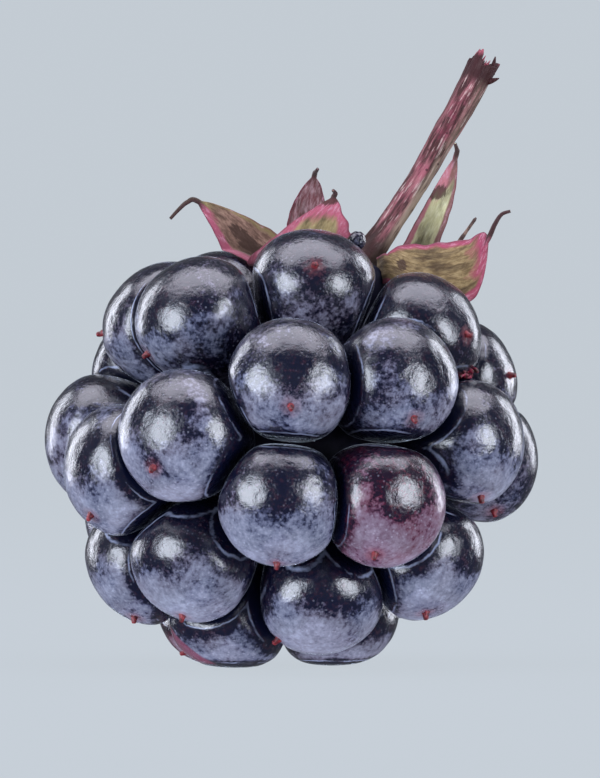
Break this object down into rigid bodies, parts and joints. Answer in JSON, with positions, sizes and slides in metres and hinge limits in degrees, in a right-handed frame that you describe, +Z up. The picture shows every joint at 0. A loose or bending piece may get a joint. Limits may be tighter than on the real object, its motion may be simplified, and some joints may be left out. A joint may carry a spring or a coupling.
{
  "type": "bramble berry",
  "caption": "Ripe bramble berry of clustered glossy drupelets, with a reflexed calyx of dry-tipped sepals and a short torn stem, resting on its lower side.",
  "frame": {"origin": "bottom centre of the bounding box, on the surface that the berry rests on", "axes": "+Z up, the berry's longest extent with its stem; +X to the right, the side that the stem leans to; -Y to the front, the side away from the stem's backward lean"},
  "size_m": [0.0202, 0.0194, 0.0251],
  "materials": {
    "ripe_skin": "glossy",
    "ripening_skin": "glossy",
    "stem_bark": "matte",
    "sepal_felt": "matte",
    "dry_filament": "matte"
  },
  "bodies": {
    "root": {"drupelet_crown_1": "ripe_skin", "drupelet_crown_2": "ripe_skin", "drupelet_crown_3": "ripe_skin", "drupelet_crown_4": "ripe_skin", "drupelet_crown_5": "ripe_skin", "drupelet_crown_6": "ripe_skin", "drupelet_crown_7": "ripe_skin", "drupelet_shoulder_1": "ripe_skin", "drupelet_shoulder_2": "ripe_skin", "drupelet_shoulder_3": "ripe_skin", "drupelet_shoulder_4": "ripe_skin", "drupelet_shoulder_5": "ripe_skin", "drupelet_shoulder_6": "ripe_skin", "drupelet_shoulder_7": "ripe_skin", "drupelet_shoulder_8": "ripe_skin", "drupelet_middle_1": "ripe_skin", "drupelet_middle_2": "ripe_skin", "drupelet_middle_3": "ripe_skin", "drupelet_middle_4": "ripe_skin", "drupelet_middle_5": "ripe_skin", "drupelet_middle_6": "ripe_skin", "drupelet_middle_7": "ripe_skin", "drupelet_lower_1": "ripe_skin", "drupelet_lower_2": "ripe_skin", "drupelet_lower_3": "ripe_skin", "drupelet_lower_4": "ripe_skin", "drupelet_lower_5": "ripe_skin", "drupelet_lower_6": "ripe_skin", "drupelet_lower_7": "ripe_skin", "drupelet_lower_8": "ripe_skin", "drupelet_lower_9": "ripening_skin", "drupelet_lower_10": "ripe_skin", "drupelet_tip_1": "ripe_skin", "drupelet_tip_2": "ripe_skin", "drupelet_tip_3": "ripe_skin", "drupelet_tip_4": "ripe_skin", "drupelet_tip_5": "ripening_skin", "drupelet_tip_6": "ripe_skin", "drupelet_unswollen": "ripe_skin", "stem": "stem_bark", "sepal_left": "sepal_felt", "sepal_front": "sepal_felt", "sepal_back": "sepal_felt", "sepal_right": "sepal_felt", "sepal_stem_side": "sepal_felt", "filament_right": "dry_filament", "filament_left": "dry_filament", "filament_back": "dry_filament"}
  },
  "joints": []
}
